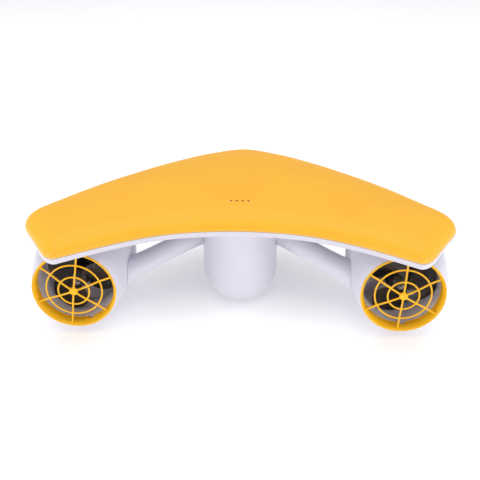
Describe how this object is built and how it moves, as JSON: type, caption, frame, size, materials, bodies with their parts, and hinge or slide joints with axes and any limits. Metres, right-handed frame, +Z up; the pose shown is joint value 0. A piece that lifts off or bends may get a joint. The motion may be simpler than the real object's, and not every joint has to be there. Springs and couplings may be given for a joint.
{
  "type": "underwater scooter",
  "caption": "Hand-held underwater scooter: wing-shaped deck over a battery pod, ducted thrusters under the tips and slanted grips with triggers.",
  "frame": {"origin": "middle of the underside of the whole object, on the surface it stands on", "axes": "+X to the swimmer's right, +Y forward along the thrusters, +Z up"},
  "size_m": [0.533, 0.314, 0.1485],
  "materials": {
    "yellow_plastic": "satin moulded",
    "white_plastic": "satin moulded",
    "black_plastic": "satin moulded",
    "dark_grey_plastic": "fine grain moulded",
    "black_rubber": "matt",
    "smoked_lens": "polished",
    "green_board": "lacquered",
    "stainless_steel": "turned",
    "brass": "turned",
    "copper_winding": "enamelled wire",
    "black_aluminium": "anodised"
  },
  "bodies": {
    "root": {"top_cover": "yellow_plastic", "lower_shell": "white_plastic", "deck_seal": "black_rubber", "deck_screw_1": "stainless_steel", "deck_screw_2": "stainless_steel", "deck_screw_3": "stainless_steel", "deck_screw_4": "stainless_steel", "light_pipe": "smoked_lens", "indicator_board": "green_board", "motor_controller": "black_aluminium", "motor_cable_left": "black_rubber", "motor_cable_right": "black_rubber", "camera_insert": "brass", "pod_housing": "white_plastic", "contact_block": "black_plastic", "grip_left": "white_plastic", "grip_right": "white_plastic", "trigger_pin_left": "stainless_steel", "trigger_pin_right": "stainless_steel", "trigger_spring_left": "stainless_steel", "trigger_spring_right": "stainless_steel", "trigger_sensor_left": "black_plastic", "trigger_sensor_right": "black_plastic", "nacelle_left": "white_plastic", "nacelle_right": "white_plastic", "front_guard_left": "yellow_plastic", "front_guard_right": "yellow_plastic", "motor_carrier_left": "white_plastic", "motor_carrier_right": "white_plastic", "motor_housing_left": "black_aluminium", "motor_housing_right": "black_aluminium", "nose_cone_left": "black_plastic", "nose_cone_right": "black_plastic", "motor_stator_left": "copper_winding", "motor_stator_right": "copper_winding", "bearing_rear_left": "stainless_steel", "bearing_rear_right": "stainless_steel", "bearing_front_left": "stainless_steel", "bearing_front_right": "stainless_steel", "shaft_seal_left": "black_rubber", "shaft_seal_right": "black_rubber"},
    "prop_left": {"propeller_left": "black_plastic", "propeller_nut_left": "stainless_steel", "motor_shaft_left": "stainless_steel", "motor_rotor_left": "stainless_steel"},
    "prop_right": {"propeller_right": "black_plastic", "propeller_nut_right": "stainless_steel", "motor_shaft_right": "stainless_steel", "motor_rotor_right": "stainless_steel"},
    "guard_left": {"rear_guard_left": "yellow_plastic"},
    "guard_right": {"rear_guard_right": "yellow_plastic"},
    "finger_lever_left": {"trigger_left": "dark_grey_plastic"},
    "finger_lever_right": {"trigger_right": "dark_grey_plastic"},
    "battery_unit": {"battery_pack": "dark_grey_plastic", "battery_cover": "white_plastic", "battery_seal": "black_rubber"},
    "knob_left": {"cover_knob_left": "dark_grey_plastic"},
    "knob_right": {"cover_knob_right": "dark_grey_plastic"}
  },
  "joints": [
    {"name": "propeller_left_spin", "type": "hinge", "parent": "root", "child": "prop_left", "pos_m": [-0.2, -0.093, 0.063], "axis": [0, 1, 0], "continuous": true},
    {"name": "propeller_right_spin", "type": "hinge", "parent": "root", "child": "prop_right", "pos_m": [0.2, -0.093, 0.063], "axis": [0, 1, 0], "continuous": true},
    {"name": "guard_left_twist", "type": "hinge", "parent": "root", "child": "guard_left", "pos_m": [-0.2, -0.125, 0.063], "axis": [0, 1, 0], "range_deg": [0, 20]},
    {"name": "guard_right_twist", "type": "hinge", "parent": "root", "child": "guard_right", "pos_m": [0.2, -0.125, 0.063], "axis": [0, 1, 0], "range_deg": [0, 20]},
    {"name": "trigger_left_pull", "type": "hinge", "parent": "root", "child": "finger_lever_left", "pos_m": [-0.08732, -0.03376, 0.07931], "axis": [-0.312, 0, 0.9501], "range_deg": [0, 8], "stiffness_Nm_per_rad": 0.3, "springref_deg": -2.86},
    {"name": "trigger_right_pull", "type": "hinge", "parent": "root", "child": "finger_lever_right", "pos_m": [0.08732, -0.03376, 0.07931], "axis": [-0.312, 0, -0.9501], "range_deg": [0, 8], "stiffness_Nm_per_rad": 0.3, "springref_deg": -2.86},
    {"name": "battery_slide", "type": "slide", "parent": "root", "child": "battery_unit", "axis": [0, 1, 0], "range_m": [0, 0.12]},
    {"name": "knob_left_turn", "type": "hinge", "parent": "battery_unit", "child": "knob_left", "pos_m": [-0.0375, 0.0821, 0.1], "axis": [0, 1, 0], "range_deg": [0, 90]},
    {"name": "knob_right_turn", "type": "hinge", "parent": "battery_unit", "child": "knob_right", "pos_m": [0.0375, 0.0821, 0.1], "axis": [0, 1, 0], "range_deg": [0, 90]}
  ]
}
